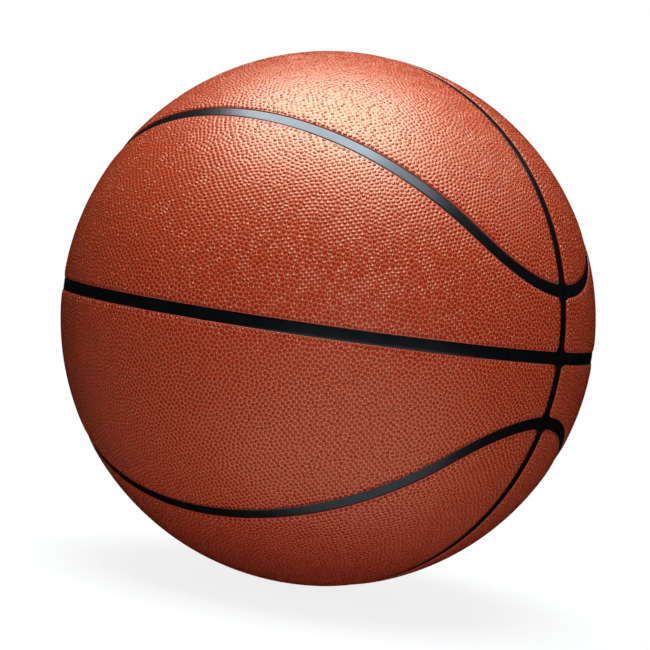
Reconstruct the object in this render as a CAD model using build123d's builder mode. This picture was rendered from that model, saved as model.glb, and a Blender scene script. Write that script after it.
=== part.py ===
"""A basketball of the full men's size, in the layers it is built up from.

Eight cover panels sit on foam pads in the pockets of a ribbed rubber carcass, whose ribs show as the
channels between the panels. Inside lie the thread winding, the bladder, the valve and a balance patch.
The origin is the ball's centre, +Z is the pole of the equator channel, and +X points at one of the two
places where the equator channel crosses the meridian channel. The front of the ball faces -Y.
"""

from build123d import *
from itertools import product
from math import acos, asin, cos, degrees, radians, sin, sqrt
import os

os.makedirs("parts", exist_ok=True)

# Driving dimensions in millimetres and degrees: the ball is 749.3 mm round
ball_diameter = 238.5
quarter_turn = 90.0

# Channels: two straight ones in the planes z = 0 and y = 0, and a curved one above and below the equator
channel_width = 5.4
channel_depth = 1.0
curve_radius = 68.5
curve_slope = 45.0
corner_radius = 2.6

# Layers, from the outside in
cover_thickness = 1.6
pad_thickness = 1.2
carcass_thickness = 1.0
winding_thickness = 0.7
bladder_thickness = 0.8
glue_line = 0.2

# Edges of the panels
edge_gap = 0.25
edge_rounding_share = 0.75
pad_inset = 0.5

# Valve housing
valve_slope = 22.5
stem_diameter = 13.0
stem_clearance = 0.2
nose_diameter = 8.4
nose_clearance = 0.3
nose_recess = 0.4
flange_diameter = 34.0
flange_thickness = 1.6
barrel_diameter = 11.0
barrel_length = 6.0
core_bore_diameter = 5.0
core_seat_diameter = 6.6
core_seat_depth = 1.4

# Valve core
core_clearance = 0.05
core_tail = 2.4
core_tip_diameter = 3.4
needle_diameter = 2.2
needle_depth = 9.0
needle_point_length = 0.7
mouth_diameter = 3.2
mouth_depth = 0.7

# Balance patch
patch_diameter = 36.0
patch_thickness = 2.2

# Radii of the layers
ball_radius = ball_diameter / 2
cover_inner = ball_radius - cover_thickness
pad_outer = cover_inner - glue_line
pad_inner = pad_outer - pad_thickness
rib_top = ball_radius - channel_depth
pocket_floor = pad_inner - glue_line
carcass_inner = pocket_floor - carcass_thickness
winding_outer = carcass_inner - glue_line
winding_inner = winding_outer - winding_thickness
bladder_outer = winding_inner - glue_line
bladder_inner = bladder_outer - bladder_thickness
lining_outer = bladder_inner - glue_line

# Distance of a panel's, a pad's and a pocket's edge from the middle of the channel
cover_edge = channel_width / 2
pad_edge = cover_edge + pad_inset
pocket_edge = cover_edge - edge_gap

# Panels by row, by side of the meridian channel and by side of the equator channel
rows = ("band", "crown")
sides = {"front": -1, "back": 1}
levels = {"upper": 1, "lower": -1}
panels = list(product(sides, levels, rows))
valve_panel = ("back", "upper", "band")

# Valve axis, the plane across it, and a plane that holds it as its second axis
valve_direction = Vector(0, cos(radians(valve_slope)), sin(radians(valve_slope)))
valve_axis = Axis((0, 0, 0), valve_direction)
valve_across = Plane(origin=(0, 0, 0), x_dir=(1, 0, 0), z_dir=valve_direction)
valve_profile = Plane(origin=(0, 0, 0), x_dir=(1, 0, 0), z_dir=Vector(1, 0, 0).cross(valve_direction))


def panel_block(side, level, row, edge, outer_radius, inner_radius):
    """A panel's share of the layer between two radii, its edges set back from the middle of the channels.

    The outline is drawn in the YZ plane, turned so that its axes lead away from the meridian channel and
    from the equator channel. All channels run straight through along X, so the outline is extruded that way.
    """
    outward = sides[side]
    upward = levels[level]
    bend_radius = curve_radius + edge if row == "band" else curve_radius - edge
    bend_height = curve_radius / cos(radians(curve_slope))
    bend_start = degrees(asin(edge / bend_radius))
    with BuildPart() as block:
        with BuildSketch(Plane((0, 0, 0), x_dir=(0, outward, 0), z_dir=(outward * upward, 0, 0))) as outline:
            with BuildLine():
                bend_size = curve_slope - bend_start
                bend = CenterArc((0, bend_height), bend_radius, bend_start - quarter_turn, bend_size)
                run = Line(bend @ 1, bend @ 1 + (bend % 1) * ball_diameter)
                far = run @ 1
                if row == "band":
                    Polyline(far, (far.X, edge), (edge, edge), bend @ 0)
                else:
                    Polyline(far, (edge, far.Y), bend @ 0)
            make_face()
            corners = outline.vertices().group_by(Axis.X)[0].sort_by(Axis.Y)
            fillet(corners if row == "band" else corners[:1], corner_radius)
        extrude(amount=ball_diameter, both=True)
        Sphere(outer_radius, mode=Mode.INTERSECT)
        Sphere(inner_radius, mode=Mode.SUBTRACT)
    return block.part


def ring_angle(radius, distance):
    """Angle, seen from the ball's centre, of the point of a sphere that lies this far from the valve axis."""
    return degrees(acos(distance / radius))


# Cover panels of pebbled composite leather, with rounded edges
for side, level, row in panels:
    with BuildPart() as cover:
        add(panel_block(side, level, row, cover_edge, ball_radius, cover_inner))
        fillet(cover.faces().sort_by(SortBy.AREA)[-1].edges(), edge_rounding_share * cover_thickness)
        if (side, level, row) == valve_panel:
            with BuildSketch(valve_across):
                Circle(nose_diameter / 2 + nose_clearance)
            extrude(amount=ball_diameter, mode=Mode.SUBTRACT)
    cover.part.label = f"cover_{side}_{level}_{row}"
    export_step(cover.part, f"parts/cover_{side}_{level}_{row}.step")

# Foam pads, one behind each cover panel
for side, level, row in panels:
    with BuildPart() as pad:
        add(panel_block(side, level, row, pad_edge, pad_outer, pad_inner))
        if (side, level, row) == valve_panel:
            with BuildSketch(valve_across):
                Circle(stem_diameter / 2 + stem_clearance)
            extrude(amount=ball_diameter, mode=Mode.SUBTRACT)
    pad.part.label = f"pad_{side}_{level}_{row}"
    export_step(pad.part, f"parts/pad_{side}_{level}_{row}.step")

# Carcass: a rubber shell with a pocket for each panel, which leaves the ribs standing between them
with BuildPart() as carcass:
    Sphere(rib_top)
    Sphere(carcass_inner, mode=Mode.SUBTRACT)
    for side, level, row in panels:
        add(panel_block(side, level, row, pocket_edge, ball_radius, pocket_floor), mode=Mode.SUBTRACT)
    with BuildSketch(valve_across):
        Circle(stem_diameter / 2 + stem_clearance)
    extrude(amount=ball_diameter, mode=Mode.SUBTRACT)
carcass.part.label = "carcass"
export_step(carcass.part, "parts/carcass.step")

# Winding: thread bonded into one layer round the bladder
with BuildPart() as winding:
    Sphere(winding_outer)
    Sphere(winding_inner, mode=Mode.SUBTRACT)
    with BuildSketch(valve_across):
        Circle(stem_diameter / 2 + stem_clearance)
    extrude(amount=ball_diameter, mode=Mode.SUBTRACT)
winding.part.label = "winding"
export_step(winding.part, "parts/winding.step")

# Bladder: the rubber shell that holds the air
with BuildPart() as bladder:
    Sphere(bladder_outer)
    Sphere(bladder_inner, mode=Mode.SUBTRACT)
    with BuildSketch(valve_across):
        Circle(stem_diameter / 2 + stem_clearance)
    extrude(amount=ball_diameter, mode=Mode.SUBTRACT)
bladder.part.label = "bladder"
export_step(bladder.part, "parts/bladder.step")

# Valve housing: a nose in the cover's hole, a stem through the layers, a flange bonded inside the bladder
# and a barrel behind it, all with one bore for the core
nose_face = ball_radius - nose_recess
stem_shoulder = sqrt(cover_inner**2 - (stem_diameter / 2) ** 2) - glue_line
flange_inner = lining_outer - flange_thickness
barrel_end = flange_inner - barrel_length
seat_face = nose_face - core_seat_depth
with BuildPart() as valve_housing:
    with BuildSketch(valve_profile):
        with BuildLine():
            behind_start = ring_angle(flange_inner, barrel_diameter / 2)
            behind_end = ring_angle(flange_inner, flange_diameter / 2)
            front_start = ring_angle(lining_outer, flange_diameter / 2)
            front_end = ring_angle(lining_outer, stem_diameter / 2)
            flange_back = CenterArc((0, 0), flange_inner, behind_start, behind_end - behind_start)
            flange_front = CenterArc((0, 0), lining_outer, front_start, front_end - front_start)
            Line(flange_back @ 1, flange_front @ 0)
            Polyline(
                flange_front @ 1,
                (stem_diameter / 2, stem_shoulder),
                (nose_diameter / 2, stem_shoulder),
                (nose_diameter / 2, nose_face),
                (core_seat_diameter / 2, nose_face),
                (core_seat_diameter / 2, seat_face),
                (core_bore_diameter / 2, seat_face),
                (core_bore_diameter / 2, barrel_end),
                (barrel_diameter / 2, barrel_end),
                flange_back @ 0,
            )
        make_face()
    revolve(axis=valve_axis)
valve_housing.part.label = "valve_housing"
export_step(valve_housing.part, "parts/valve_housing.step")

# Valve core: a headed rubber plug with a blind hole for the inflation needle
head_diameter = core_seat_diameter - 2 * core_clearance
body_diameter = core_bore_diameter - 2 * core_clearance
head_underside = seat_face + core_clearance
tail_end = barrel_end - core_tail
needle_end = nose_face - needle_depth
with BuildPart() as valve_core:
    with BuildSketch(valve_profile):
        with BuildLine():
            Polyline(
                (needle_diameter / 2, nose_face - mouth_depth),
                (mouth_diameter / 2, nose_face),
                (head_diameter / 2, nose_face),
                (head_diameter / 2, head_underside),
                (body_diameter / 2, head_underside),
                (body_diameter / 2, barrel_end),
                (core_tip_diameter / 2, tail_end),
                (0, tail_end),
                (0, needle_end),
                (needle_diameter / 2, needle_end + needle_point_length),
                close=True,
            )
        make_face()
    revolve(axis=valve_axis)
valve_core.part.label = "valve_core"
export_step(valve_core.part, "parts/valve_core.step")

# Balance patch: a rubber disc bonded inside the bladder, opposite the valve
patch_inner = lining_outer - patch_thickness
with BuildPart() as balance_patch:
    with BuildSketch(valve_profile):
        with BuildLine():
            outer_edge = ring_angle(lining_outer, patch_diameter / 2)
            inner_edge = ring_angle(patch_inner, patch_diameter / 2)
            patch_front = CenterArc((0, 0), lining_outer, -quarter_turn, quarter_turn - outer_edge)
            patch_back = CenterArc((0, 0), patch_inner, -quarter_turn, quarter_turn - inner_edge)
            Line(patch_front @ 1, patch_back @ 1)
            Line(patch_front @ 0, patch_back @ 0)
        make_face()
    revolve(axis=valve_axis)
balance_patch.part.label = "balance_patch"
export_step(balance_patch.part, "parts/balance_patch.step")
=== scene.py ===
from math import asin, cos, pi, radians, sin, sqrt

import bpy
import numpy as np
from mathutils import Matrix, Vector
from mathutils.geometry import delaunay_2d_cdt


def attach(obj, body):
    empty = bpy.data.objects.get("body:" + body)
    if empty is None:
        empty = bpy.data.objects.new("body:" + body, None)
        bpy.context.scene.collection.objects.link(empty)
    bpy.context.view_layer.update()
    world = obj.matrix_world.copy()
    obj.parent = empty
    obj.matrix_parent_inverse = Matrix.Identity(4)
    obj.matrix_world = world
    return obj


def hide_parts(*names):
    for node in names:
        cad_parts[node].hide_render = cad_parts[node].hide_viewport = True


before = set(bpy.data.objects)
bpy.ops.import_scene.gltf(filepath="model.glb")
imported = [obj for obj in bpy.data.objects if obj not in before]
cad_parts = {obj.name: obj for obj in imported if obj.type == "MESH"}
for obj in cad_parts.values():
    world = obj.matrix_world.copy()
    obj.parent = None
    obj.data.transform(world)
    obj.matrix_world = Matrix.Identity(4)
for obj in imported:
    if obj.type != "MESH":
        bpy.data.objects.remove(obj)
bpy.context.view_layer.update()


# Bladder: a hollow ball of black butyl rubber that holds the air. It is blow-moulded in one piece and
# lies innermost, dusted with talc so that it doesn't stick to itself.
bladder_black = (0.028, 0.028, 0.030, 1)
bladder_talc = (0.12, 0.12, 0.12, 1)


def new_finish(name):
    """A material for one finish, with its node tree and its shader."""
    material = bpy.data.materials.new(name)
    material.use_nodes = True
    tree = material.node_tree
    return material, tree, tree.nodes["Principled BSDF"]


def noise(tree, coordinates, scale, detail=4.0, roughness=0.5):
    """The value of a noise pattern of this many grains to the metre."""
    node = tree.nodes.new("ShaderNodeTexNoise")
    node.inputs["Scale"].default_value = scale
    node.inputs["Detail"].default_value = detail
    node.inputs["Roughness"].default_value = roughness
    tree.links.new(coordinates, node.inputs["Vector"])
    return node.outputs["Fac"]


def ramp(tree, value, *stops):
    """A colour that follows a value through the stops, each a position and a colour."""
    node = tree.nodes.new("ShaderNodeValToRGB")
    elements = node.color_ramp.elements
    while len(elements) < len(stops):
        elements.new(0.5)
    for element, (position, colour) in zip(elements, stops):
        element.position = position
        element.color = colour
    tree.links.new(value, node.inputs["Fac"])
    return node.outputs["Color"]


def spread(tree, value, low, high):
    """A number between low and high that follows a value from 0 to 1."""
    node = tree.nodes.new("ShaderNodeMapRange")
    node.inputs["To Min"].default_value = low
    node.inputs["To Max"].default_value = high
    tree.links.new(value, node.inputs["Value"])
    return node.outputs["Result"]


def bump(tree, height, distance):
    """A surface relief of this depth in metres."""
    node = tree.nodes.new("ShaderNodeBump")
    node.inputs["Distance"].default_value = distance
    tree.links.new(height, node.inputs["Height"])
    return node.outputs["Normal"]


def object_place(tree):
    """The coordinates of a point in the ball's own frame."""
    return tree.nodes.new("ShaderNodeTexCoord").outputs["Object"]


def paint(node, material):
    """Gives a piece one finish all over."""
    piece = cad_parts[node]
    piece.data.materials.clear()
    piece.data.materials.append(material)


bladder_rubber, tree, shader = new_finish("bladder_rubber")
place = object_place(tree)
talc = noise(tree, place, scale=90, detail=6, roughness=0.62)
tree.links.new(ramp(tree, talc, (0.42, bladder_black), (0.70, bladder_talc)), shader.inputs["Base Color"])
tree.links.new(spread(tree, talc, low=0.45, high=0.75), shader.inputs["Roughness"])
tree.links.new(bump(tree, noise(tree, place, scale=900), distance=0.00005), shader.inputs["Normal"])
paint("bladder", bladder_rubber)


# Balance patch: a disc of the same rubber, bonded inside the bladder opposite the valve, that offsets the
# valve's weight so that the ball spins true.
paint("balance_patch", bladder_rubber)


# Valve housing: a stem, flange and barrel moulded in one piece of soft black rubber. Its flange is bonded
# inside the bladder, and its nose shows in the cover's hole.
valve_black = (0.016, 0.016, 0.017, 1)
valve_scuffed = (0.045, 0.044, 0.043, 1)
valve_rubber, tree, shader = new_finish("valve_rubber")
place = object_place(tree)
scuffs = noise(tree, place, scale=700, detail=5, roughness=0.6)
tree.links.new(ramp(tree, scuffs, (0.45, valve_black), (0.75, valve_scuffed)), shader.inputs["Base Color"])
tree.links.new(spread(tree, scuffs, low=0.38, high=0.62), shader.inputs["Roughness"])
tree.links.new(bump(tree, noise(tree, place, scale=2500), distance=0.00003), shader.inputs["Normal"])
paint("valve_housing", valve_rubber)


# Winding: nylon thread wound round the bladder in all directions and bonded with latex into one layer.
# It keeps the ball round.
thread_pale = (0.60, 0.57, 0.50, 1)
strand_gap_shade = (0.22, 0.20, 0.17, 1)
thread_turns = ((0.0, 0.0, 0.0), (1.1, 0.4, 0.0), (0.3, 1.3, 0.9))
strand_scale = 420
strand_waver = 1.5
winding_thread, tree, shader = new_finish("winding_thread")
place = object_place(tree)
thread_height = None
for turn in thread_turns:
    turned = tree.nodes.new("ShaderNodeMapping")
    turned.inputs["Rotation"].default_value = turn
    tree.links.new(place, turned.inputs["Vector"])
    strands = tree.nodes.new("ShaderNodeTexWave")
    strands.inputs["Scale"].default_value = strand_scale
    strands.inputs["Distortion"].default_value = strand_waver
    tree.links.new(turned.outputs["Vector"], strands.inputs["Vector"])
    if thread_height is None:
        thread_height = strands.outputs["Fac"]
    else:
        higher = tree.nodes.new("ShaderNodeMath")
        higher.operation = "MAXIMUM"
        tree.links.new(thread_height, higher.inputs[0])
        tree.links.new(strands.outputs["Fac"], higher.inputs[1])
        thread_height = higher.outputs["Value"]
# The thread is coloured darker where the strands lie lowest: painted shade in the gaps between them.
thread_colour = ramp(tree, thread_height, (0.2, strand_gap_shade), (0.9, thread_pale))
tree.links.new(thread_colour, shader.inputs["Base Color"])
tree.links.new(spread(tree, noise(tree, place, scale=300), low=0.55, high=0.8), shader.inputs["Roughness"])
tree.links.new(bump(tree, thread_height, distance=0.0002), shader.inputs["Normal"])
paint("winding", winding_thread)


# Carcass: a black rubber shell moulded round the winding. Its raised ribs are the channels of the ball, and
# the cover panels are glued into the pockets between them.
rib_black = (0.0014, 0.0016, 0.0024, 1)
rib_bloom = (0.0035, 0.0040, 0.0052, 1)
rib_sheen = (0.72, 0.88, 1.0, 1)
carcass_rubber, tree, shader = new_finish("carcass_rubber")
place = object_place(tree)
bloom = noise(tree, place, scale=60, detail=5, roughness=0.6)
tree.links.new(ramp(tree, bloom, (0.40, rib_black), (0.75, rib_bloom)), shader.inputs["Base Color"])
tree.links.new(spread(tree, noise(tree, place, scale=400), low=0.25, high=0.33), shader.inputs["Roughness"])
tree.links.new(bump(tree, noise(tree, place, scale=1800), distance=0.00003), shader.inputs["Normal"])
shader.inputs["Specular IOR Level"].default_value = 1.0
shader.inputs["Specular Tint"].default_value = rib_sheen
paint("carcass", carcass_rubber)


# Channel faces: the crowned tops of the ribs, one with the carcass and of the same rubber. They stand almost
# flush with the panels' edges, and their shoulders round off into the narrow joints beside them.
channel_half_width = 0.0027
channel_curve_radius = 0.0685
panel_corner_radius = 0.0026
valve_slope = radians(22.5)
valve_hole_radius = 0.0045
face_gap = 0.00002
face_foot_depth = 0.0012
face_edge_depth = 0.00082
face_middle_depth = 0.00052
face_shoulder_width = 0.0007
face_rows = (0, 0.04, 0.09, 0.15, 0.22, 0.32, 0.6, 1)
bend_points = 60
run_points = 120
equator_points = 400
rise_points = 34
over_points = 320
same_point = 1e-6
slide_rounds = 6
slide_step = 1e-6
least_slope = 0.2

panels = [name.removeprefix("pad_") for name in sorted(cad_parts) if name.startswith("pad_")]
cover_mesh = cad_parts["cover_front_upper_band"].data
cover_reach = [vertex.co.length for vertex in cover_mesh.vertices]
ball_radius = max(cover_reach)
cover_inner = min(cover_reach)
valve_axis = np.array((0.0, cos(valve_slope), sin(valve_slope)))


def panel_signs(panel):
    """A panel's row, and the sign of its place along Y and along Z."""
    side, level, row = panel.split("_")
    return row, 1 if side == "back" else -1, 1 if level == "upper" else -1


def rounded_corner(first, second):
    """The distance to the nearer of two edges that meet in a rounded corner."""
    corner = panel_corner_radius - np.hypot(panel_corner_radius - first, panel_corner_radius - second)
    inside = (first < panel_corner_radius) & (second < panel_corner_radius)
    return np.where(inside, corner, np.minimum(first, second))


def edge_distance(points, panel):
    """How far points of the ball lie inside a panel's edge, below 0 outside it."""
    row, outward, upward = panel_signs(panel)
    across = points[:, 1] * outward
    above = points[:, 2] * upward
    bend_height = channel_curve_radius * sqrt(2)
    from_bend = np.hypot(across, above - bend_height) - channel_curve_radius
    from_run = (across - above) / sqrt(2)
    from_curve = np.where(across < bend_height - above, from_bend, from_run)
    if row == "band":
        inside = rounded_corner(across - channel_half_width, above - channel_half_width)
        inside = rounded_corner(inside, from_curve - channel_half_width)
    else:
        inside = rounded_corner(across - channel_half_width, -from_curve - channel_half_width)
    if panel == "back_upper_band":
        along = points @ valve_axis
        from_axis = np.linalg.norm(points - np.outer(along, valve_axis), axis=1)
        inside = np.minimum(inside, np.where(along > 0, from_axis - valve_hole_radius, inside))
    return inside


def on_ball(points, radius):
    """The points moved in or out along their radius onto a sphere."""
    return points * (radius / np.linalg.norm(points, axis=1))[:, None]


def snap_to_edge(points, panel, wanted):
    """The points slid over the ball until they lie this far inside the panel's edge."""
    for _ in range(slide_rounds):
        here = edge_distance(points, panel)
        changes = [edge_distance(points + slide_step * axis, panel) - here for axis in np.eye(3)]
        slope = np.stack(changes, 1) / slide_step
        outward = points / np.linalg.norm(points, axis=1)[:, None]
        slope -= (slope * outward).sum(1)[:, None] * outward
        slope /= np.maximum((slope * slope).sum(1), least_slope)[:, None]
        points = on_ball(points + (wanted - here)[:, None] * slope, ball_radius)
    return points


def channel_middle(panel):
    """The middle of the channels round a panel, as one closed line of points of the ball."""
    row, outward, upward = panel_signs(panel)
    crossing = asin(channel_curve_radius * (sqrt(2) - 1) / ball_radius)
    bend = np.linspace(0, pi / 4, bend_points)
    run = np.linspace(asin(channel_curve_radius / ball_radius), pi / 2, run_points)[1:]
    diagonal = ball_radius * np.sin(run) / sqrt(2)
    across = np.concatenate([channel_curve_radius * np.sin(bend), diagonal])
    above = np.concatenate([channel_curve_radius * (sqrt(2) - np.cos(bend)), diagonal])
    along = np.sqrt(np.maximum(ball_radius**2 - across**2 - above**2, 0))
    half = np.stack([along, across, above], 1)
    curve = np.concatenate([half[:-1], (half * (-1, 1, 1))[::-1]])
    if row == "band":
        turn = np.linspace(0, pi, equator_points)
        equator = ball_radius * np.stack([np.cos(turn), np.sin(turn), 0 * turn], 1)
        turn = np.linspace(0, crossing, rise_points)
        rise = ball_radius * np.stack([-np.cos(turn), 0 * turn, np.sin(turn)], 1)
        fall = (rise * (-1, 1, 1))[::-1]
        line = np.concatenate([equator[:-1], rise[:-1], curve[::-1][:-1], fall[:-1]])
    else:
        turn = np.linspace(pi - crossing, crossing, over_points)
        over = ball_radius * np.stack([np.cos(turn), 0 * turn, np.sin(turn)], 1)
        line = np.concatenate([curve[:-1], over[:-1]])
    return line * (1, outward, upward)


def new_piece(name, points, faces):
    """A new mesh object, selected alone."""
    mesh = bpy.data.meshes.new(name)
    mesh.from_pydata(points, [], faces)
    piece = bpy.data.objects.new(name, mesh)
    bpy.context.scene.collection.objects.link(piece)
    bpy.ops.object.select_all(action="DESELECT")
    bpy.context.view_layer.objects.active = piece
    piece.select_set(True)
    return piece


points = []
quads = []
for panel in panels:
    line = channel_middle(panel)
    reach = -edge_distance(line, panel)
    foot = snap_to_edge(line, panel, np.full(len(line), -face_gap))
    rows = [on_ball(row, ball_radius - face_foot_depth) for row in (line, foot)]
    for share in face_rows:
        from_edge = face_gap + share * (reach - face_gap)
        past_shoulder = np.clip(from_edge / face_shoulder_width, 0, 1)
        depth = face_middle_depth + (face_edge_depth - face_middle_depth) * (1 - past_shoulder) ** 2
        spots = snap_to_edge(line, panel, -from_edge)
        rows.append(spots * ((ball_radius - depth) / ball_radius)[:, None])
    here = np.arange(len(line))
    after = (here + 1) % len(line)
    outer_edge = rows[2]
    facing = np.cross(outer_edge[after] - outer_edge, rows[-1] - outer_edge)
    outward = (facing * outer_edge).sum() > 0
    for number in range(len(rows) - 1):
        near = len(points) + number * len(line)
        far = near + len(line)
        ring = (near + here, near + after, far + after, far + here)
        quads += np.stack(ring if outward else ring[::-1], 1).tolist()
    points += np.concatenate(rows).tolist()
channel_faces = new_piece("channel_faces", points, quads)
bpy.ops.object.mode_set(mode="EDIT")
bpy.ops.mesh.select_all(action="SELECT")
bpy.ops.mesh.remove_doubles(threshold=same_point)
bpy.ops.object.mode_set(mode="OBJECT")
channel_faces.data.shade_smooth()
channel_faces.data.materials.append(carcass_rubber)
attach(channel_faces, "ball")


# Foam pads: a sheet of closed-cell foam, cut a little smaller than its panel and laminated behind it. The
# pads give the ball its soft feel.
foam_pale = (0.55, 0.53, 0.47, 1)
foam_pit_shade = (0.36, 0.34, 0.29, 1)
foam_cell_scale = 1600
pad_foam, tree, shader = new_finish("pad_foam")
place = object_place(tree)
cells = tree.nodes.new("ShaderNodeTexVoronoi")
cells.inputs["Scale"].default_value = foam_cell_scale
tree.links.new(place, cells.inputs["Vector"])
# The foam is coloured darker towards the middle of each cell, where its relief is lowest: painted shade in
# the cell pits.
foam_colour = ramp(tree, cells.outputs["Distance"], (0.0, foam_pit_shade), (0.5, foam_pale))
tree.links.new(foam_colour, shader.inputs["Base Color"])
foam_roughness = spread(tree, noise(tree, place, scale=500), low=0.75, high=0.95)
tree.links.new(foam_roughness, shader.inputs["Roughness"])
tree.links.new(bump(tree, cells.outputs["Distance"], distance=0.0001), shader.inputs["Normal"])
for panel in panels:
    paint("pad_" + panel, pad_foam)


# Cover panels: eight pieces of composite leather, embossed with round pebbles that are darker than the
# valleys between them. Each panel is pressed into its pocket, so its edges roll down to the channels.
# The pebbles' crowns are coloured lighter, partly as a painted highlight, and the rolled edges darker, as
# painted shade.
pebble_pitch = 0.00205
pebble_rise = 0.00007
pebble_crown_rise = 0.00003
rise_spread = (0.82, 1.18)
foot_height_share = 0.12
edge_roll = 0.00020
roll_turns = (pi / 6, pi / 3, pi / 2)
shoulder_width = 0.0050
shoulder_drop = 0.00032
relaxing_rounds = 8
pebble_scatter_share = 0.24
edge_room_share = 0.3
mirror_share = 1.6
foot_share = 0.89
widest_stretch = 1.04
shoulder_share = 0.60
roundness = 0.6
pebble_seed = 29
# The start of the roll and the rolled edges are coloured darker: painted shade where the leather dips to the
# channels.
edge_start_shade = 0.35
foot_tone = 0.62
shoulder_tone = 0.66
rolled_edge_shade = 0.55
highlight_tone_range = (0.75, 1.0)
underside_step = 8
underside_margin_share = 2
shortest_edge = 0.00008
map_tolerance = 1e-9


def panel_centre(panel):
    """The direction of a panel's middle from the ball's centre."""
    row, outward, upward = panel_signs(panel)
    slope = valve_slope if row == "band" else pi / 2 - valve_slope
    return np.array((0.0, outward * cos(slope), upward * sin(slope)))


def triangles_between(points, centre, rim=()):
    """Triangles between neighbouring points of the ball, found on a flat map about a panel's middle.

    Where a rim is given, as pairs of points, the triangles fill it.
    """
    east = np.array((1.0, 0.0, 0.0))
    north = np.cross(centre, east)
    unit = on_ball(points, 1)
    scale = 2 / (1 + unit @ centre)
    flat = np.stack([(unit @ east) * scale, (unit @ north) * scale], 1)
    spots = [Vector(spot) for spot in flat.tolist()]
    fill_rim = 2 if len(rim) else 0
    _, _, found, sources, _, _ = delaunay_2d_cdt(spots, rim, [], fill_rim, map_tolerance)
    return np.array([source[0] for source in sources])[np.array(found)]


def triangle_hubs(corner, left, right):
    """From the first corner of each triangle to the point that is equally far from all three."""
    to_left = left - corner
    to_right = right - corner
    facing = np.cross(to_left, to_right)
    hub = np.cross(facing, to_left) * (to_right * to_right).sum(1)[:, None]
    hub += np.cross(to_right, facing) * (to_left * to_left).sum(1)[:, None]
    return hub / (2 * facing * facing).sum(1)[:, None], facing


def pebble_middles(panel, sprinkle):
    """Where the pebbles of a panel sit: sprinkled points, each moved to the middle of the room it has.

    The points near the edge are mirrored over it, so that the cells between them end there.
    """
    points = sprinkle[edge_distance(sprinkle, panel) > edge_roll + edge_room_share * pebble_pitch]
    centre = panel_centre(panel)
    for round_number in range(relaxing_rounds + 1):
        inside = edge_distance(points, panel) - edge_roll
        near = inside < mirror_share * pebble_pitch
        mirrored = snap_to_edge(points[near], panel, edge_roll - inside[near])
        spots = np.concatenate([points, mirrored])
        triangles = triangles_between(spots, centre)
        if round_number == relaxing_rounds:
            return spots, triangles
        total = np.zeros_like(spots)
        weight = np.zeros(len(spots))
        for turned in (triangles, triangles[:, (1, 2, 0)], triangles[:, (2, 0, 1)]):
            corner, left, right = spots[turned.T]
            hub, facing = triangle_hubs(corner, left, right)
            for halfway, side in (((left - corner) / 2, 1), ((right - corner) / 2, -1)):
                area = side * (np.cross(halfway, hub) * facing).sum(1) / np.linalg.norm(facing, axis=1)
                np.add.at(total, turned[:, 0], area[:, None] * (corner + (halfway + hub) / 3))
                np.add.at(weight, turned[:, 0], area)
        points = on_ball(total[:len(points)] / weight[:len(points), None], ball_radius)


# The cells round the pebbles come from the triangles between their middles, each corner of a cell lying
# equally far from the corners of its triangle.
cell_maker = bpy.data.node_groups.new("pebble_cells", "GeometryNodeTree")
cell_maker.interface.new_socket("Geometry", in_out="INPUT", socket_type="NodeSocketGeometry")
cell_maker.interface.new_socket("Geometry", in_out="OUTPUT", socket_type="NodeSocketGeometry")
cells_in = cell_maker.nodes.new("NodeGroupInput")
dual = cell_maker.nodes.new("GeometryNodeDualMesh")
cells_out = cell_maker.nodes.new("NodeGroupOutput")
cell_maker.links.new(cells_in.outputs[0], dual.inputs[0])
cell_maker.links.new(dual.outputs[0], cells_out.inputs[0])


def cell_sheet(panel, sprinkle):
    """A panel's outline filled with one flat cell for each pebble.

    The border is slid onto the line where the edge starts to roll, and corners that meet there become one.
    """
    spots, triangles = pebble_middles(panel, sprinkle)
    sheet = new_piece("cells_" + panel, spots.tolist(), triangles.tolist())
    mesh = sheet.data
    sheet.modifiers.new("cells", "NODES").node_group = cell_maker
    bpy.ops.object.modifier_apply(modifier="cells")
    hubs = spots[triangles[:, 0]] + triangle_hubs(*spots[triangles.T])[0]
    mesh.vertices.foreach_set("co", on_ball(hubs, ball_radius).ravel())
    mesh.update()
    middles = np.array([face.center for face in mesh.polygons])
    kept = edge_distance(middles, panel) > edge_roll
    bpy.ops.object.mode_set(mode="EDIT")
    bpy.ops.mesh.select_mode(type="FACE")
    bpy.ops.object.mode_set(mode="OBJECT")
    mesh.polygons.foreach_set("select", ~kept)
    bpy.ops.object.mode_set(mode="EDIT")
    bpy.ops.mesh.delete(type="FACE")
    bpy.ops.mesh.select_mode(type="VERT")
    bpy.ops.mesh.select_non_manifold(extend=False)
    bpy.ops.object.mode_set(mode="OBJECT")
    corners = np.array([vertex.co for vertex in mesh.vertices])
    border = np.array([vertex.select for vertex in mesh.vertices])
    corners[border] = snap_to_edge(corners[border], panel, edge_roll)
    mesh.vertices.foreach_set("co", corners.ravel())
    bpy.ops.object.mode_set(mode="EDIT")
    bpy.ops.mesh.remove_doubles(threshold=shortest_edge)
    bpy.ops.object.mode_set(mode="OBJECT")
    return sheet


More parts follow.
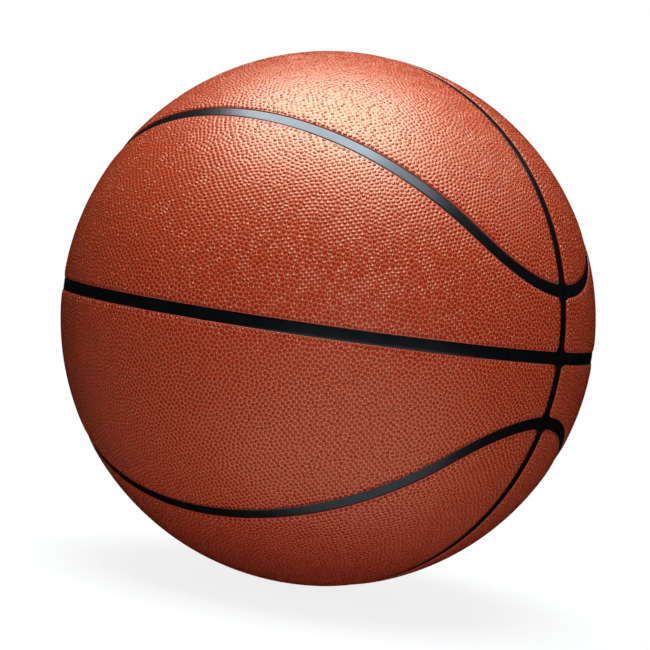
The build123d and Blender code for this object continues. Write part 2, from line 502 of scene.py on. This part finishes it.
def panel_cover(panel, sprinkle, chance):
    """One cover panel: pebbled on top, rolled down at its edges and closed underneath."""
    sheet = cell_sheet(panel, sprinkle)
    mesh = sheet.data
    corners = np.array([vertex.co for vertex in mesh.vertices])
    starts = np.array([face.loop_start for face in mesh.polygons])
    sizes = np.array([face.loop_total for face in mesh.polygons])
    loops = np.array([loop.vertex_index for loop in mesh.loops])
    following = np.arange(len(loops)) + 1
    following[starts + sizes - 1] = starts
    owner = np.repeat(np.arange(len(sizes)), sizes)

    # The border of the sheet is where the edge starts to roll
    edges = np.stack([loops, loops[following]], 1)
    keys, counts = np.unique(np.sort(edges, axis=1), axis=0, return_counts=True)
    border_keys = {tuple(key) for key in keys[counts == 1].tolist()}
    on_border = np.array([tuple(sorted(pair)) in border_keys for pair in edges.tolist()])
    border = np.unique(edges[on_border])
    corners = on_ball(corners, ball_radius)
    corners[border] = snap_to_edge(corners[border], panel, edge_roll)

    # Each pebble rises from its cell: a foot, a shoulder and a crown
    middles = np.zeros((len(sizes), 3))
    np.add.at(middles, owner, corners[loops])
    middles = on_ball(middles / sizes[:, None], ball_radius)
    rise = pebble_rise * chance.uniform(*rise_spread, len(sizes))

    def pebble_ring(targets, share):
        """A ring round each pebble's middle, this share of the way to the targets but rounder than they lie.

        It stays inside the pebble's cell, so that a valley is left where two pebbles lie close together.
        """
        spokes = targets - middles[owner]
        lengths = np.linalg.norm(spokes, axis=1)
        mean_length = np.zeros(len(sizes))
        np.add.at(mean_length, owner, lengths)
        even = roundness * (mean_length / sizes)[owner] + (1 - roundness) * lengths
        return middles[owner] + spokes * (share * np.minimum(even / lengths, widest_stretch))[:, None]

    foot = pebble_ring((corners[loops] + corners[loops[following]]) / 2, foot_share)
    shoulder = pebble_ring(corners[loops], shoulder_share)

    def lowered(points, height):
        """The points set at a height over the leather, which drops towards the panel's edges."""
        inside = np.clip(edge_distance(points, panel) / shoulder_width, 0, 1)
        drop = shoulder_drop * (1 - inside) ** 2
        return on_ball(points, 1) * (ball_radius - pebble_rise - pebble_crown_rise - drop + height)[:, None]

    rolls = [snap_to_edge(corners[border], panel, edge_roll * (1 - sin(turn))) for turn in roll_turns]
    roll_depths = [edge_roll * (1 - cos(turn)) for turn in roll_turns]
    inner = middles[edge_distance(middles, panel) > underside_margin_share * pebble_pitch]
    layers = [
        lowered(corners, np.zeros(len(corners))),
        lowered(foot, foot_height_share * rise[owner]),
        lowered(shoulder, rise[owner]),
        lowered(middles, rise + pebble_crown_rise),
        *[lowered(ring, np.full(len(ring), -depth)) for ring, depth in zip(rolls, roll_depths)],
        on_ball(rolls[-1], cover_inner),
        on_ball(inner[::underside_step], cover_inner),
    ]
    layer_starts = np.cumsum([0] + [len(layer) for layer in layers])
    _, foot_start, shoulder_start, crown_start, *rim_starts, _, end = layer_starts
    corner = loops
    corner_next = loops[following]
    here = np.arange(len(loops))
    foot, foot_next = foot_start + here, foot_start + following
    shoulder, shoulder_next = shoulder_start + here, shoulder_start + following
    pebbles = np.concatenate([
        np.stack([corner, corner_next, foot], 1),
        np.stack([corner_next, foot_next, foot], 1),
        np.stack([foot, foot_next, shoulder_next], 1),
        np.stack([foot, shoulder_next, shoulder], 1),
        np.stack([shoulder, shoulder_next, crown_start + owner], 1),
    ])
    rim_place = np.full(len(corners), -1)
    rim_place[border] = np.arange(len(border))
    rim_from = rim_place[edges[on_border][:, 0]]
    rim_to = rim_place[edges[on_border][:, 1]]
    rings = [border] + [start + np.arange(len(border)) for start in rim_starts]
    walls = [
        np.stack([upper[rim_to], upper[rim_from], lower[rim_from], lower[rim_to]], 1)
        for upper, lower in zip(rings, rings[1:])
    ]
    rim = np.stack([rim_from, rim_to], 1).tolist()
    bottom = np.concatenate(layers[-2:])
    underside = triangles_between(bottom, panel_centre(panel), rim)[:, ::-1]
    on_valve = np.linalg.norm(np.cross(bottom, valve_axis), axis=1) < valve_hole_radius
    on_valve &= bottom @ valve_axis > 0
    underside = rim_starts[-1] + underside[~on_valve[underside].all(1)]
    faces = np.concatenate([pebbles, underside]).tolist() + np.concatenate(walls).tolist()
    bpy.data.objects.remove(sheet)
    piece = new_piece("leather_" + panel, np.concatenate(layers).tolist(), faces)
    tone = piece.data.attributes.new("pebble", "FLOAT", "POINT")
    # Each crown's tone differs at random and carries a painted highlight.
    crown_highlight_tone = chance.uniform(*highlight_tone_range, len(middles))
    # The border corners and the rolled rings take painted shade.
    valley_tone = np.zeros(len(corners))
    valley_tone[border] = edge_start_shade
    tones = np.concatenate([
        valley_tone,
        np.full(len(loops), foot_tone),
        np.full(len(loops), shoulder_tone),
        crown_highlight_tone,
        np.full(end - rim_starts[0], rolled_edge_shade),
    ])
    tone.data.foreach_set("value", tones.astype(np.float32))
    piece.data.shade_smooth()
    return piece


leather_valley = (0.64, 0.130, 0.066, 1)
leather_pebble = (0.255, 0.0052, 0.0002, 1)
# The crowns are lighter than the pebbles' sides. Partly this is a tone that differs at random from pebble to
# pebble, and partly it is a painted highlight on their tops.
leather_crown_highlight = (0.360, 0.041, 0.006, 1)
leather_sheen = (0.94, 1.0, 0.72, 1)
leather, tree, shader = new_finish("cover_leather")
place = object_place(tree)
pebble_tone = tree.nodes.new("ShaderNodeAttribute")
pebble_tone.attribute_name = "pebble"
# The leather's two dyes for valleys and pebbles, with the crowns' painted highlight and the rolled edges'
# painted shade.
dye_shade_and_highlight = ramp(
    tree,
    pebble_tone.outputs["Fac"],
    (0.25, leather_valley),
    (0.60, leather_pebble),
    (1.00, leather_crown_highlight),
)
tree.links.new(dye_shade_and_highlight, shader.inputs["Base Color"])
tree.links.new(spread(tree, noise(tree, place, scale=350), low=0.24, high=0.34), shader.inputs["Roughness"])
tree.links.new(bump(tree, noise(tree, place, scale=5200), distance=0.00002), shader.inputs["Normal"])
shader.inputs["Specular IOR Level"].default_value = 1.0
shader.inputs["Specular Tint"].default_value = leather_sheen

chance = np.random.default_rng(pebble_seed)
pebble_area = sqrt(3) / 2 * pebble_pitch**2
pebble_count = int(4 * pi * ball_radius**2 / pebble_area)
turn = pi * (1 + sqrt(5)) * np.arange(pebble_count)
height = 1 - (2 * np.arange(pebble_count) + 1) / pebble_count
ring = np.sqrt(1 - height**2)
sprinkle = ball_radius * np.stack([ring * np.cos(turn), ring * np.sin(turn), height], 1)
sprinkle += chance.normal(0, pebble_scatter_share * pebble_pitch, sprinkle.shape)
sprinkle = on_ball(sprinkle, ball_radius)
for panel in panels:
    cover = panel_cover(panel, sprinkle, chance)
    cover.data.materials.append(leather)
    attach(cover, "ball")
    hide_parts("cover_" + panel)


# Valve core: a headed plug of soft moulded rubber that closes behind the inflation needle. It is pushed into
# the housing, where friction holds it, and can be pulled out.
core_black = (0.030, 0.030, 0.031, 1)
core_worn = (0.070, 0.068, 0.066, 1)
core_rubber, tree, shader = new_finish("core_rubber")
place = object_place(tree)
wear = noise(tree, place, scale=1200, detail=5, roughness=0.6)
tree.links.new(ramp(tree, wear, (0.42, core_black), (0.72, core_worn)), shader.inputs["Base Color"])
tree.links.new(spread(tree, wear, low=0.5, high=0.75), shader.inputs["Roughness"])
tree.links.new(bump(tree, noise(tree, place, scale=3000), distance=0.00003), shader.inputs["Normal"])
paint("valve_core", core_rubber)


# Stage: the camera stands where the photograph was taken from, a little above the ball's middle and tilted
# sideways. The pixels are those of the photograph's frame.
camera_azimuth = radians(32.84)
camera_elevation = radians(2.68)
camera_roll = radians(8.07)
camera_distance = 9.98 * ball_radius
frame_size = 650
ball_pixels = 267.75
ball_centre_pixel = (328.13, 318.58)

towards_camera = Vector((
    sin(camera_azimuth) * cos(camera_elevation),
    -cos(camera_azimuth) * cos(camera_elevation),
    sin(camera_elevation),
))
camera_data = bpy.data.cameras.new("photo_camera")
camera = bpy.data.objects.new("photo_camera", camera_data)
bpy.context.scene.collection.objects.link(camera)
bpy.context.scene.camera = camera
looking = towards_camera.to_track_quat("Z", "Y").to_matrix() @ Matrix.Rotation(camera_roll, 3, "Z")
camera.matrix_world = Matrix.Translation(towards_camera * camera_distance) @ looking.to_4x4()
sight = ball_pixels / (ball_radius / sqrt(camera_distance**2 - ball_radius**2))
camera_data.sensor_width = 36.0
camera_data.lens = camera_data.sensor_width * sight / frame_size
camera_data.shift_x = (frame_size / 2 - ball_centre_pixel[0]) / frame_size
camera_data.shift_y = (ball_centre_pixel[1] - frame_size / 2) / frame_size
camera_data.clip_start = 0.05
camera_data.clip_end = 50.0

# Floor: a plain white sheet that carries on into a white surround. It keeps a faint shadow near the ball and
# throws only a little light back up.
floor_white = 0.85
floor_bounce = 0.25
shadow_share = 0.16
shadow_reach = 0.5
bpy.ops.object.select_all(action="DESELECT")
bpy.ops.mesh.primitive_plane_add(size=20, location=(0, 0, -ball_radius))
floor = bpy.context.active_object
floor.name = "floor"
floor.visible_shadow = False
floor.visible_glossy = False
floor_finish, tree, shader = new_finish("floor_white")
shader.inputs["Roughness"].default_value = 0.9
shader.inputs["Specular IOR Level"].default_value = 0.0
glow = tree.nodes.new("ShaderNodeEmission")
path = tree.nodes.new("ShaderNodeLightPath")
floor_colour = spread(tree, path.outputs["Is Camera Ray"], floor_bounce, floor_white)
tree.links.new(floor_colour, shader.inputs["Base Color"])
away = tree.nodes.new("ShaderNodeVectorMath")
away.operation = "LENGTH"
tree.links.new(object_place(tree), away.inputs[0])
fade = tree.nodes.new("ShaderNodeMapRange")
fade.interpolation_type = "SMOOTHSTEP"
fade.inputs["From Max"].default_value = shadow_reach
fade.inputs["To Min"].default_value = 1 - shadow_share
tree.links.new(away.outputs["Value"], fade.inputs["Value"])
share = tree.nodes.new("ShaderNodeMath")
share.operation = "MULTIPLY"
mixed = tree.nodes.new("ShaderNodeMixShader")
tree.links.new(path.outputs["Is Camera Ray"], share.inputs[0])
tree.links.new(fade.outputs["Result"], share.inputs[1])
tree.links.new(share.outputs["Value"], mixed.inputs["Fac"])
tree.links.new(shader.outputs["BSDF"], mixed.inputs[1])
tree.links.new(glow.outputs["Emission"], mixed.inputs[2])
tree.links.new(mixed.outputs["Shader"], tree.nodes["Material Output"].inputs["Surface"])
floor.data.materials.append(floor_finish)

# Light: soft boxes in a dim surround. The overhead box is a little greenish and gives no shine. A wide box in
# front and a weak one behind give shape without shine, and boxes above, in front, on the right and below give
# shine alone.
surround_strength = 0.004
overhead_tint = (0.79, 1.0, 0.87)
world = bpy.data.worlds.new("surround")
bpy.context.scene.world = world
world.use_nodes = True
tree = world.node_tree
background = tree.nodes["Background"]
path = tree.nodes.new("ShaderNodeLightPath")
strength = spread(tree, path.outputs["Is Camera Ray"], surround_strength, 1.0)
tree.links.new(strength, background.inputs["Strength"])
background.inputs["Color"].default_value = (1, 1, 1, 1)

picture_right = looking @ Vector((1, 0, 0))
picture_up = looking @ Vector((0, 1, 0))


def soft_box(name, right, up, near, size, watts, matt=True, shine=True, tint=(1, 1, 1)):
    """A square soft light, placed in metres along the picture's right, its up and the way to the camera."""
    data = bpy.data.lights.new(name, "AREA")
    data.size = size
    data.energy = watts
    data.color = tint
    light = bpy.data.objects.new(name, data)
    bpy.context.scene.collection.objects.link(light)
    light.location = picture_right * right + picture_up * up + towards_camera * near
    light.rotation_mode = "QUATERNION"
    light.rotation_quaternion = light.location.to_track_quat("Z", "Y")
    light.visible_diffuse = matt
    light.visible_glossy = shine


soft_box("key_box", 0.06, 1.05, -0.02, 1.0, 36.5, shine=False, tint=overhead_tint)
soft_box("key_shine", -0.05, 1.05, 0.0, 0.95, 18.0, matt=False)
soft_box("front_shine", 0.35, 0.90, 0.41, 0.6, 3.2, matt=False)
soft_box("front_fill", 0.30, -0.52, 2.45, 1.5, 46.0, shine=False)
soft_box("low_box", 0.2, -1.15, 0.85, 2.2, 7.2, matt=False)
soft_box("side_shine", 0.72, 0.88, -0.2, 0.7, 1.2, matt=False)
soft_box("back_box", -0.1, 0.5, -1.6, 1.0, 8.0, shine=False)

bpy.context.scene.view_settings.view_transform = "Standard"
